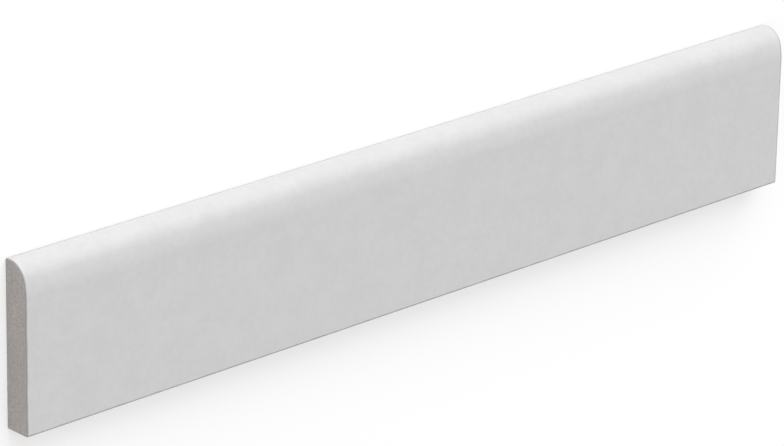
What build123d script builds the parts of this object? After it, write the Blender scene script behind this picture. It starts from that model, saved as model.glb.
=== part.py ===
"""Glazed porcelain bullnose tile, the rounded-edge trim of a tile range, lying on its keyed back.

X runs along the tile, +Y points to the rounded edge and +Z out of the glazed face.
The origin is the middle of the back, on the surface that the tile lies on.
"""

import os
from math import cos, radians, sin

from build123d import *

# Driving dimensions, in millimetres and degrees

# Pressed format, as the tile is sold
TILE_LENGTH = 300.0
TILE_HEIGHT = 50.0
TILE_THICKNESS = 8.5

# Bullnose: a flat land beside the wall, a tight nose, then a slow shoulder that runs out into the face
TOP_LAND = 2.0
SHOULDER_RADIUS = 20.0
SHOULDER_TURN = 15.0

# Ground bevel on every sharp arris
EDGE_BEVEL = 0.4

# Keyed back: shallow pockets that the adhesive grips, between ribs, inside a plain rim
RIM_WIDTH = 6.0
RIB_WIDTH = 2.0
POCKET_SIDE = 17.0
POCKET_DEPTH = 0.7
POCKET_CORNER_RADIUS = 2.0
POCKET_DRAFT = 45.0


def tile_section():
    """Outline of the tile across its length: flat back, square foot, rounded top edge."""
    top, foot = TILE_HEIGHT / 2, -TILE_HEIGHT / 2
    nose_turn = 90.0 - SHOULDER_TURN
    # the nose takes the thickness that the land and the shoulder leave
    shoulder_depth = SHOULDER_RADIUS * (1 - cos(radians(SHOULDER_TURN)))
    nose_radius = (TILE_THICKNESS - TOP_LAND - shoulder_depth) / sin(radians(nose_turn))
    nose = JernArc(start=(top, TOP_LAND), tangent=(0, 1), radius=nose_radius, arc_size=nose_turn)
    shoulder = JernArc(start=nose @ 1, tangent=nose % 1, radius=SHOULDER_RADIUS, arc_size=SHOULDER_TURN)
    flats = Polyline(
        shoulder @ 1,
        (foot + EDGE_BEVEL, TILE_THICKNESS),
        (foot, TILE_THICKNESS - EDGE_BEVEL),
        (foot, EDGE_BEVEL),
        (foot + EDGE_BEVEL, 0),
        (top - EDGE_BEVEL, 0),
        (top, EDGE_BEVEL),
        nose @ 0,
    )
    return Plane.YZ * make_face(nose + shoulder + flats)


def key_pockets():
    """Drafted pockets, as many as fit inside the rim in each direction."""
    pocket = extrude(
        RectangleRounded(POCKET_SIDE, POCKET_SIDE, POCKET_CORNER_RADIUS),
        amount=POCKET_DEPTH,
        taper=POCKET_DRAFT,
    )
    pitch = POCKET_SIDE + RIB_WIDTH
    columns = int((TILE_LENGTH - 2 * RIM_WIDTH + RIB_WIDTH) // pitch)
    rows = int((TILE_HEIGHT - 2 * RIM_WIDTH + RIB_WIDTH) // pitch)
    return [place * pocket for place in GridLocations(pitch, pitch, columns, rows)]


def bullnose_tile():
    """The fired tile: section run along its length, ends bevelled, back keyed."""
    blank = extrude(tile_section(), amount=TILE_LENGTH / 2, both=True)
    ends = blank.faces().filter_by(Axis.X)
    bevelled = chamfer(ends.edges(), EDGE_BEVEL)
    return bevelled - key_pockets()


os.makedirs("parts", exist_ok=True)
export_step(bullnose_tile(), "parts/bullnose_tile.step")
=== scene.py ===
from math import cos, radians, sin

import bmesh
import bpy
from mathutils import Matrix, Vector


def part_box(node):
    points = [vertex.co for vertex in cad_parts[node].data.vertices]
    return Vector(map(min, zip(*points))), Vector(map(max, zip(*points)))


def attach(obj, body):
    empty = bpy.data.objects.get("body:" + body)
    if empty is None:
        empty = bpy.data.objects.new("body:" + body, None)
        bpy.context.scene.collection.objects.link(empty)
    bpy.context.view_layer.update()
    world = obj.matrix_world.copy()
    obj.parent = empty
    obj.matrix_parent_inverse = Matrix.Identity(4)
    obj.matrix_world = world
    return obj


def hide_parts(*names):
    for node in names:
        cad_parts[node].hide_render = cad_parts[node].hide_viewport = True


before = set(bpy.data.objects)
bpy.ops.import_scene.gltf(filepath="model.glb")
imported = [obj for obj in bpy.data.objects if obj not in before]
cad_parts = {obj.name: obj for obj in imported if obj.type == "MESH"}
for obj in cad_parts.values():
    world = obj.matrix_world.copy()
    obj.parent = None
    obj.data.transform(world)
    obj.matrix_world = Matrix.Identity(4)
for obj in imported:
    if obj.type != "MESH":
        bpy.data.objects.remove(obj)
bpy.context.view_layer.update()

# The tile
# One pressed and fired piece of porcelain with a bullnose along its upper edge. Light grey glaze was
# sprayed on the face and over the bullnose and melted there; the ends, the foot and the keyed back are
# bare body, and every square arris was ground a little after firing.
MM = 0.001
HAIR = 0.001 * MM
low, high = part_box("bullnose_tile")
LENGTH = high.x - low.x
HEIGHT = high.y - low.y
THICKNESS = high.z - low.z
TOP_LAND = 2.0 * MM
SHOULDER_RADIUS = 20.0 * MM
SHOULDER_TURN = radians(15.0)
NOSE_TURN = radians(90.0) - SHOULDER_TURN
# the nose takes the thickness that the land and the shoulder leave
NOSE_RADIUS = (THICKNESS - TOP_LAND - SHOULDER_RADIUS * (1 - cos(SHOULDER_TURN))) / sin(NOSE_TURN)
NOSE_STEPS = 20
SHOULDER_STEPS = 10
ARRIS = 0.4 * MM
ARRIS_STEPS = 3


def choose(kind, test):
    """Selects the vertices, edges or faces of the mesh in edit mode that pass the test, and no others."""
    bpy.ops.mesh.select_mode(type={"verts": "VERT", "edges": "EDGE", "faces": "FACE"}[kind])
    bpy.ops.mesh.select_all(action="DESELECT")
    mesh = bmesh.from_edit_mesh(bpy.context.edit_object.data)
    for element in getattr(mesh, kind):
        element.select_set(test(element))
    mesh.select_flush_mode()
    bmesh.update_edit_mesh(bpy.context.edit_object.data)


def near(first, second):
    """Whether two lengths are the same, to a thousandth of a millimetre."""
    return abs(first - second) < HAIR


# The outline across the tile: a rectangle that loses its upper front corner to the nose and the shoulder
bpy.ops.object.select_all(action="DESELECT")
bpy.ops.mesh.primitive_plane_add(size=1, location=(low.x, 0, THICKNESS / 2), rotation=(0, radians(90), 0))
tile = bpy.context.object
tile.name = "glazed_tile"
tile.data.name = "glazed_tile"
tile.scale = (THICKNESS, HEIGHT, 1)
bpy.ops.object.transform_apply(location=True, rotation=True, scale=True)
bpy.ops.object.mode_set(mode="EDIT")
choose("verts", lambda vert: near(vert.co.y, high.y) and near(vert.co.z, high.z))
bpy.ops.mesh.delete(type="VERT")
choose("verts", lambda vert: near(vert.co.y, high.y))
bpy.ops.mesh.extrude_region_move(TRANSFORM_OT_translate={"value": (0, 0, TOP_LAND)})
nose_centre = Vector((low.x, high.y - NOSE_RADIUS, TOP_LAND))
bpy.ops.mesh.spin(steps=NOSE_STEPS, angle=NOSE_TURN, center=nose_centre, axis=(-1, 0, 0))
shoulder_start = Vector((0, cos(NOSE_TURN), sin(NOSE_TURN)))
shoulder_centre = nose_centre + (NOSE_RADIUS - SHOULDER_RADIUS) * shoulder_start
bpy.ops.mesh.spin(steps=SHOULDER_STEPS, angle=SHOULDER_TURN, center=shoulder_centre, axis=(-1, 0, 0))
bpy.ops.mesh.select_all(action="SELECT")
bpy.ops.mesh.remove_doubles(threshold=HAIR)
choose("verts", lambda vert: near(vert.co.z, high.z))
bpy.ops.mesh.edge_face_add()
bpy.ops.mesh.select_all(action="SELECT")
bpy.ops.mesh.edge_face_add()

# The outline run along the length, with its square edges ground round
bpy.ops.mesh.select_all(action="SELECT")
bpy.ops.mesh.extrude_region_move(TRANSFORM_OT_translate={"value": (LENGTH, 0, 0)})
bpy.ops.mesh.select_all(action="SELECT")
bpy.ops.mesh.normals_make_consistent(inside=False)


def is_arris(edge):
    """The rim of either end, or one of the three square edges that run along the tile."""
    first, second = edge.verts[0].co, edge.verts[1].co
    on_rim = near(first.x, second.x)
    at_foot = near(first.y, low.y) and near(second.y, low.y)
    at_back_of_top = near(first.y, high.y) and near(first.z, low.z)
    return on_rim or at_foot or at_back_of_top


choose("edges", is_arris)
bpy.ops.mesh.bevel(offset=ARRIS, segments=ARRIS_STEPS, affect="EDGES")
bpy.ops.object.mode_set(mode="OBJECT")

# The keyed back: drafted pockets, all cut by one cutter in rows and columns, with softened brims
RIM_WIDTH = 6.0 * MM
RIB_WIDTH = 2.0 * MM
POCKET_SIDE = 17.0 * MM
POCKET_DEPTH = 0.7 * MM
POCKET_CORNER = 2.0 * MM
POCKET_CORNER_STEPS = 5
CUTTER_BELOW = 0.3 * MM
BRIM = 0.15 * MM
BRIM_STEPS = 2
BRIM_LEAST_TURN = radians(30)
PITCH = POCKET_SIDE + RIB_WIDTH
COLUMNS = int((LENGTH - 2 * RIM_WIDTH + RIB_WIDTH) // PITCH)
ROWS = int((HEIGHT - 2 * RIM_WIDTH + RIB_WIDTH) // PITCH)
# the draft is 45 degrees, so the cutter is wider below the back by as much as it reaches below it
cutter_foot = POCKET_SIDE + 2 * CUTTER_BELOW
cutter_top = POCKET_SIDE - 2 * POCKET_DEPTH
first_pocket = Vector((-(COLUMNS - 1) * PITCH / 2,
                       -(ROWS - 1) * PITCH / 2,
                       (POCKET_DEPTH - CUTTER_BELOW) / 2))
bpy.ops.object.select_all(action="DESELECT")
bpy.ops.mesh.primitive_cube_add(size=1, location=first_pocket)
cutter = bpy.context.object
cutter.scale = (cutter_foot, cutter_foot, POCKET_DEPTH + CUTTER_BELOW)
bpy.ops.object.transform_apply(location=True, rotation=True, scale=True)
bpy.ops.object.mode_set(mode="EDIT")
choose("edges", lambda edge: near(edge.verts[0].co.x, edge.verts[1].co.x)
       and near(edge.verts[0].co.y, edge.verts[1].co.y))
bpy.ops.mesh.bevel(offset=POCKET_CORNER + CUTTER_BELOW, segments=POCKET_CORNER_STEPS, affect="EDGES")
choose("verts", lambda vert: near(vert.co.z, POCKET_DEPTH))
shrink = cutter_top / cutter_foot
bpy.ops.transform.resize(value=(shrink, shrink, 1), center_override=first_pocket)
bpy.ops.object.mode_set(mode="OBJECT")
for step, count in (((PITCH, 0, 0), COLUMNS), ((0, PITCH, 0), ROWS)):
    repeat = cutter.modifiers.new("repeat", "ARRAY")
    repeat.count = count
    repeat.use_relative_offset = False
    repeat.use_constant_offset = True
    repeat.constant_offset_displace = step
    bpy.ops.object.modifier_apply(modifier=repeat.name)
bpy.context.view_layer.objects.active = tile
pockets = tile.modifiers.new("pockets", "BOOLEAN")
pockets.operation = "DIFFERENCE"
pockets.solver = "EXACT"
pockets.object = cutter
bpy.ops.object.modifier_apply(modifier=pockets.name)
bpy.data.objects.remove(cutter)
bpy.ops.object.select_all(action="DESELECT")
tile.select_set(True)
bpy.ops.object.mode_set(mode="EDIT")


def is_brim(edge):
    """The mouth or the floor line of a pocket, where the drafted wall turns level."""
    level = [near(vert.co.z, low.z) or near(vert.co.z, POCKET_DEPTH) for vert in edge.verts]
    inside = [abs(vert.co.x) < LENGTH / 2 - RIM_WIDTH and abs(vert.co.y) < HEIGHT / 2 - RIM_WIDTH / 2
              for vert in edge.verts]
    return all(level + inside) and edge.calc_face_angle(0) > BRIM_LEAST_TURN


choose("edges", is_brim)
bpy.ops.mesh.bevel(offset=BRIM, segments=BRIM_STEPS, affect="EDGES")
bpy.ops.object.mode_set(mode="OBJECT")


def linear(colour):
    """An sRGB hex colour as the linear values that a shader takes."""
    parts = [int(colour[start:start + 2], 16) / 255 for start in (1, 3, 5)]
    return [part / 12.92 if part <= 0.04045 else ((part + 0.055) / 1.055) ** 2.4 for part in parts] + [1]


def add(tree, kind, inputs, **settings):
    """Adds a node with its settings and gives its outputs. Each input is a value, or an output to link."""
    made = tree.nodes.new("ShaderNode" + kind)
    for name, value in settings.items():
        setattr(made, name, value)
    for name, value in inputs.items():
        if isinstance(value, bpy.types.NodeSocket):
            tree.links.new(value, made.inputs[name])
        else:
            made.inputs[name].default_value = value
    return made.outputs


def new_material(name):
    """A new material, and its node tree."""
    made = bpy.data.materials.new(name)
    made.use_nodes = True
    return made, made.node_tree


# the index of fired porcelain, and of its glaze
FIRED_IOR = 1.5


def dress(tree, tint, roughness, relief):
    """Gives the shader of a material its colour, roughness, relief and index."""
    shader = tree.nodes["Principled BSDF"]
    tree.links.new(tint, shader.inputs["Base Color"])
    tree.links.new(roughness, shader.inputs["Roughness"])
    tree.links.new(relief, shader.inputs["Normal"])
    shader.inputs["IOR"].default_value = FIRED_IOR


# Satin glaze on porcelain, sprayed and melted: an even light grey, faintly mottled, with a soft sheen over
# its orange peel, ground through to the warmer body along the arrises
GLAZE_PALE = "#D1D1D1"
GLAZE_DEEP = "#CDCDCD"
BODY_PALE = "#B4AFAC"
BODY_DEEP = "#989390"
CLOUD_WIDTH = 9 * MM
MOTTLE_WIDTH = 2 * MM
SATIN_LEAST = 0.28
SATIN_MOST = 0.40
PEEL_WIDTH = 2.2 * MM
PEEL_HEIGHT = 0.01 * MM
GROUND_LEAST = 0.5 * MM
GROUND_MOST = 0.8 * MM
GROUND_WANDER = 5 * MM
GROUND_ROUGHNESS = 0.7
# a noise keeps mostly to the wider of these spans, and the mean of two noises to the narrower
NOISE_SPAN = {"From Min": 0.3, "From Max": 0.7}
MEAN_SPAN = {"From Min": 0.4, "From Max": 0.6}
# inputs of a Mix node: 0 is the share of the second, 2 and 3 are numbers, 6 and 7 are colours
glaze, tree = new_material("satin_grey_glaze")
place = add(tree, "TexCoord", {})["Object"]
clouds = add(tree, "TexNoise", {"Vector": place, "Scale": 1 / CLOUD_WIDTH, "Detail": 3})["Fac"]
mottle = add(tree, "TexNoise", {"Vector": place, "Scale": 1 / MOTTLE_WIDTH, "Detail": 2})["Fac"]
blotches = add(tree, "Mix", {0: 0.5, 2: mottle, 3: clouds})[0]
pale = add(tree, "MapRange", {"Value": blotches, **MEAN_SPAN})["Result"]
tint = add(tree, "Mix", {0: pale, 6: linear(GLAZE_DEEP), 7: linear(GLAZE_PALE)}, data_type="RGBA")[2]
along, across, from_back = add(tree, "SeparateXYZ", {"Vector": place})
off_middle = add(tree, "Math", {0: along}, operation="ABSOLUTE")[0]
from_end = add(tree, "Math", {0: LENGTH / 2, 1: off_middle}, operation="SUBTRACT")[0]
from_foot = add(tree, "Math", {0: across, 1: low.y}, operation="SUBTRACT")[0]
from_arris = add(tree, "Math", {0: from_end, 1: from_foot}, operation="MINIMUM")[0]
from_arris = add(tree, "Math", {0: from_arris, 1: from_back}, operation="MINIMUM")[0]
wander = add(tree, "TexNoise", {"Vector": place, "Scale": 1 / GROUND_WANDER, "Detail": 3})["Fac"]
reach = add(tree, "MapRange", {"Value": wander, **NOISE_SPAN,
                               "To Min": GROUND_LEAST, "To Max": GROUND_MOST})["Result"]
bared = add(tree, "MapRange", {"Value": from_arris, "From Min": GROUND_LEAST / 2, "From Max": reach,
                               "To Min": 1, "To Max": 0})["Result"]
tint = add(tree, "Mix", {0: bared, 6: tint, 7: linear(BODY_DEEP)}, data_type="RGBA")[2]
sheen = add(tree, "MapRange", {"Value": clouds, "To Min": SATIN_LEAST, "To Max": SATIN_MOST})["Result"]
rough = add(tree, "Mix", {0: bared, 2: sheen, 3: GROUND_ROUGHNESS})[0]
peel = add(tree, "TexNoise", {"Vector": place, "Scale": 1 / PEEL_WIDTH, "Detail": 1})["Fac"]
relief = add(tree, "Bump", {"Height": peel, "Distance": PEEL_HEIGHT})["Normal"]
dress(tree, tint, rough, relief)

# Bare porcelain body, pressed from fine powder and fired, its sides sawn and ground: a matt warm grey with
# pale and dark mineral grains and faint wheel lines, and pale kiln wash where the back stood on the rollers
KILN_WASH = "#D2CEC8"
WASH_DEPTH = 0.2 * MM
WASH_WORN = 0.4
WASH_WHOLE = 0.9
PATCH_SPAN = {"From Min": 0.3, "From Max": 0.5}
# powder and wheel lines are finer than a pixel of the render, so they are drawn two or three times as coarse
POWDER_WIDTH = 0.7 * MM
POWDER_CRUMBLE = 0.7
PIT_DEPTH = 0.03 * MM
WHEEL_LINE_LENGTH = 15 * MM
WHEEL_LINE_WIDTH = 0.4 * MM
WHEEL_LINE_DEPTH = 0.02 * MM
WHEEL_LINE_DARK = 0.94
WHEEL_LINE_LIGHT = 1.06
MATT_LEAST = 0.65
MATT_MOST = 0.85
# colour of a grain, spacing of the places for one, radius, and the share of the places that hold one
QUARTZ_GRAINS = ("#CBC7C3", 1.2 * MM, 0.14 * MM, 0.5)
IRON_GRAINS = ("#76716D", 2.2 * MM, 0.16 * MM, 0.4)
GRAIN_STRENGTH = 0.6
body, tree = new_material("bare_porcelain")
place = add(tree, "TexCoord", {})["Object"]
powder = add(tree, "TexNoise", {"Vector": place, "Scale": 1 / POWDER_WIDTH, "Detail": 3,
                                "Roughness": POWDER_CRUMBLE})["Fac"]
shade = add(tree, "MapRange", {"Value": powder, **NOISE_SPAN})["Result"]
tint = add(tree, "Mix", {0: shade, 6: linear(BODY_DEEP), 7: linear(BODY_PALE)}, data_type="RGBA")[2]
for colour, spacing, radius, share in (QUARTZ_GRAINS, IRON_GRAINS):
    cells = add(tree, "TexVoronoi", {"Vector": place, "Scale": 1 / spacing})
    dot = add(tree, "MapRange", {"Value": cells["Distance"],
                                 "From Min": radius / spacing, "From Max": 2 * radius / spacing,
                                 "To Min": GRAIN_STRENGTH, "To Max": 0})["Result"]
    chance = add(tree, "SeparateColor", {"Color": cells["Color"]})["Red"]
    picked = add(tree, "Math", {0: chance, 1: share}, operation="LESS_THAN")[0]
    grain = add(tree, "Math", {0: dot, 1: picked}, operation="MULTIPLY")[0]
    tint = add(tree, "Mix", {0: grain, 6: tint, 7: linear(colour)}, data_type="RGBA")[2]
wheel_way = add(tree, "Mapping", {"Vector": place, "Scale": (1 / WHEEL_LINE_LENGTH, 1 / WHEEL_LINE_LENGTH,
                                                             1 / WHEEL_LINE_WIDTH)})["Vector"]
wheel_lines = add(tree, "TexNoise", {"Vector": wheel_way, "Scale": 1, "Detail": 2})["Fac"]
line_tone = add(tree, "MapRange", {"Value": wheel_lines, **NOISE_SPAN,
                                   "To Min": WHEEL_LINE_DARK, "To Max": WHEEL_LINE_LIGHT})["Result"]
tint = add(tree, "Mix", {0: 1, 6: tint, 7: line_tone}, data_type="RGBA", blend_type="MULTIPLY")[2]
height = add(tree, "SeparateXYZ", {"Vector": place})["Z"]
patches = add(tree, "TexNoise", {"Vector": place, "Scale": 1 / CLOUD_WIDTH, "Detail": 5})["Fac"]
left_on = add(tree, "MapRange", {"Value": patches, **PATCH_SPAN,
                                 "To Min": WASH_WORN, "To Max": WASH_WHOLE})["Result"]
low_down = add(tree, "MapRange", {"Value": height, "From Min": WASH_DEPTH / 4, "From Max": WASH_DEPTH,
                                  "To Min": 1, "To Max": 0})["Result"]
wash = add(tree, "Math", {0: left_on, 1: low_down}, operation="MULTIPLY")[0]
tint = add(tree, "Mix", {0: wash, 6: tint, 7: linear(KILN_WASH)}, data_type="RGBA")[2]
matt = add(tree, "MapRange", {"Value": powder, "To Min": MATT_LEAST, "To Max": MATT_MOST})["Result"]
pits = add(tree, "Bump", {"Height": powder, "Distance": PIT_DEPTH})["Normal"]
relief = add(tree, "Bump", {"Height": wheel_lines, "Distance": WHEEL_LINE_DEPTH, "Normal": pits})["Normal"]
dress(tree, tint, matt, relief)

# Glaze on the face and over the bullnose, and bare body on the rest, parted on the arrises
END_TURN = 0.8
GLAZE_TURN = 0.3
SMOOTH_BELOW = radians(35)
tile.data.materials.append(glaze)
tile.data.materials.append(body)


def is_bare(face):
    """Ends, foot and back, with the nearer part of their arrises."""
    centre, normal = face.calc_center_median(), face.normal
    glazed = abs(normal.x) < END_TURN and centre.z > ARRIS and max(normal.y, normal.z) > GLAZE_TURN
    return not glazed


bpy.ops.object.mode_set(mode="EDIT")
choose("faces", is_bare)
tile.active_material_index = tile.data.materials.find(body.name)
bpy.ops.object.material_slot_assign()
bpy.ops.object.mode_set(mode="OBJECT")
bpy.ops.object.shade_smooth_by_angle(angle=SMOOTH_BELOW)
even = tile.modifiers.new("even", "WEIGHTED_NORMAL")
even.keep_sharp = True
bpy.ops.object.modifier_apply(modifier=even.name)
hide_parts("bullnose_tile")
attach(tile, "root")

# The floor
# A plain white sheet of paper that the tile lies on. The camera and reflections see it near white, and it
# keeps the tile's soft shadow. It lies a little below the back, so that no two faces share a place.
FLOOR_SIDE = 12.0
FLOOR_BELOW = 0.02 * MM
PAPER = "#F4F4F4"
GLOW_STRENGTH = 1.4
GLOW_SHARE = 0.3


def seen_straight(tree):
    """1 for a ray from the camera, a reflection or glass, and 0 for one that only carries light."""
    path = add(tree, "LightPath", {})
    seen = add(tree, "Math", {0: path["Is Camera Ray"], 1: path["Is Glossy Ray"]}, operation="MAXIMUM")[0]
    return add(tree, "Math", {0: seen, 1: path["Is Transmission Ray"]}, operation="MAXIMUM")[0]


bpy.ops.object.select_all(action="DESELECT")
bpy.ops.mesh.primitive_plane_add(size=FLOOR_SIDE, location=(0, 0, low.z - FLOOR_BELOW))
floor = bpy.context.object
floor.name = "floor"
paper, tree = new_material("white_paper")
shader = tree.nodes["Principled BSDF"]
shader.inputs["Base Color"].default_value = linear(PAPER)
shader.inputs["Roughness"].default_value = 1.0
shader.inputs["Specular IOR Level"].default_value = 0.0
glow = add(tree, "Emission", {"Color": (1, 1, 1, 1), "Strength": GLOW_STRENGTH})[0]
share = add(tree, "Math", {0: seen_straight(tree), 1: GLOW_SHARE}, operation="MULTIPLY")[0]
lit = add(tree, "MixShader", {0: share, 1: shader.outputs["BSDF"], 2: glow})[0]
tree.links.new(lit, tree.nodes["Material Output"].inputs["Surface"])
floor.data.materials.append(paper)

# The light
# A broad soft lamp, low beyond the rounded edge, which pales the bullnose, and an even white room round it
# that the camera and reflections see as full white. The glaze doesn't mirror the lamp, because from low over
# the foot that would drown its grey.
ROOM_STRENGTH = 0.68
KEY_STRENGTH = 2.6
KEY_WIDTH = radians(80)
KEY_RISE = radians(14)
scene = bpy.context.scene
world = bpy.data.worlds.new("white_room")
world.use_nodes = True
scene.world = world
tree = world.node_tree
room = tree.nodes["Background"]
room.inputs["Color"].default_value = (1, 1, 1, 1)
room.inputs["Strength"].default_value = ROOM_STRENGTH
white = add(tree, "Background", {"Color": (1, 1, 1, 1), "Strength": 1.0})[0]
shown = add(tree, "MixShader", {0: seen_straight(tree), 1: room.outputs["Background"], 2: white})[0]
tree.links.new(shown, tree.nodes["World Output"].inputs["Surface"])
key = bpy.data.objects.new("key", bpy.data.lights.new("key", "SUN"))
key.data.energy = KEY_STRENGTH
key.data.angle = KEY_WIDTH
key.rotation_mode = "QUATERNION"
key.rotation_quaternion = Vector((0, cos(KEY_RISE), sin(KEY_RISE))).to_track_quat("Z", "Y")
key.visible_glossy = False
scene.collection.objects.link(key)

# The camera
# It looks down on the tile through a long lens, turned from straight above by the bearing towards the left
# end and by the rise towards the rounded edge. Its aim is a point on the face.
BEARING = radians(43.6)
RISE = radians(21.3)
ROLL = radians(1.1)
DISTANCE = 1345 * MM
LENS = 215
AIM = Vector((-15.0 * MM, 3.3 * MM, high.z))
camera = bpy.data.objects.new("camera", bpy.data.cameras.new("camera"))
camera.data.lens = LENS
back = Vector((-sin(BEARING) * cos(RISE), sin(RISE), cos(BEARING) * cos(RISE)))
right = Vector((0, 1, 0)).cross(back).normalized()
up = back.cross(right)
turned = Matrix((right, up, back)).transposed().to_4x4() @ Matrix.Rotation(ROLL, 4, "Z")
camera.matrix_world = Matrix.Translation(AIM + DISTANCE * back) @ turned
scene.collection.objects.link(camera)
scene.camera = camera
scene.view_settings.view_transform = "Standard"
